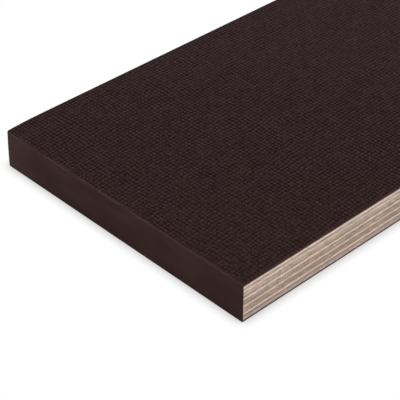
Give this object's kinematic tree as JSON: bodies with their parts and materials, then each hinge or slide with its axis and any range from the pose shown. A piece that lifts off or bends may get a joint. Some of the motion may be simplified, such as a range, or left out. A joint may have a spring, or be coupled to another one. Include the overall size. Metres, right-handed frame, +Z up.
{
  "type": "film faced plywood",
  "caption": "Flat corner piece of formwork plywood: crossed veneers between a mesh-imprinted anti-slip film and a smooth film, with painted edges on one end and one side.",
  "frame": {"origin": "middle of the underside", "axes": "+X along the sawn front towards the sawn end, +Y towards the painted side, +Z up through the mesh film"},
  "size_m": [0.24, 0.145, 0.018],
  "materials": {
    "mesh_film": "dark brown phenolic film with a wire-mesh imprint",
    "smooth_film": "dark brown phenolic film, smooth and satin",
    "long_grain_veneer": "sawn pale hardwood, grain along X",
    "cross_grain_veneer": "sawn hardwood, grain along Y",
    "edge_paint": "dark brown edge-sealing paint, matt"
  },
  "bodies": {
    "root": {"top_film": "mesh_film", "face_veneer": "long_grain_veneer", "upper_crossband": "cross_grain_veneer", "long_veneer_4": "long_grain_veneer", "core_veneer_3": "cross_grain_veneer", "long_veneer_3": "long_grain_veneer", "core_veneer_2": "cross_grain_veneer", "long_veneer_2": "long_grain_veneer", "core_veneer_1": "cross_grain_veneer", "long_veneer_1": "long_grain_veneer", "lower_crossband": "cross_grain_veneer", "back_veneer": "long_grain_veneer", "bottom_film": "smooth_film", "edge_seal": "edge_paint"}
  },
  "joints": []
}
